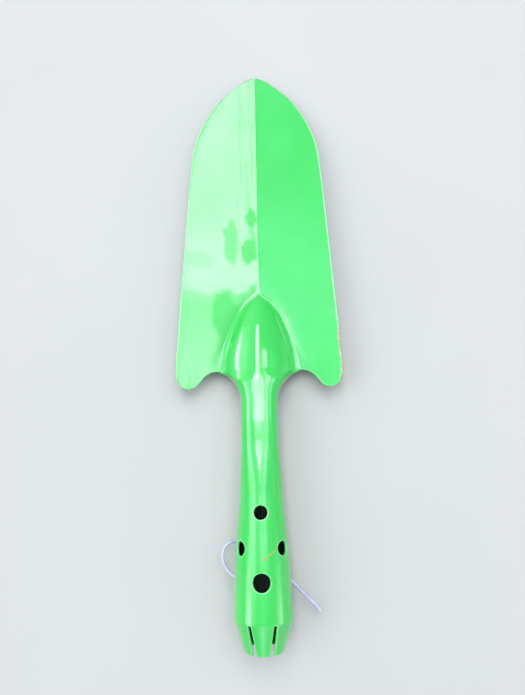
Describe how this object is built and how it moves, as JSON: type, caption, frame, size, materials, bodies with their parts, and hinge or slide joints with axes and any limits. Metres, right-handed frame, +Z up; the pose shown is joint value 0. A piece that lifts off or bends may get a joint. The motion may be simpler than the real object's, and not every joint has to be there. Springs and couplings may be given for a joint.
{
  "type": "hand trowel",
  "caption": "All-steel hand trowel: V-bottomed pointed blade pressed in one piece with a tapered tubular grip that has drain holes and an inward-bent fingered end, with a loose nylon strand.",
  "frame": {"origin": "on the ground plane under the middle of the trowel's length and width, with the trowel lying on its back", "axes": "+Y from the grip to the tip of the blade, +Z up out of the soil side of the blade, +X across the blade"},
  "size_m": [0.079, 0.2834, 0.0254],
  "materials": {
    "green_enamel": "gloss enamel on pressed steel sheet",
    "white_nylon": "smooth white nylon"
  },
  "bodies": {
    "root": {"trowel_body": "green_enamel", "nylon_strand": "white_nylon"}
  },
  "joints": []
}
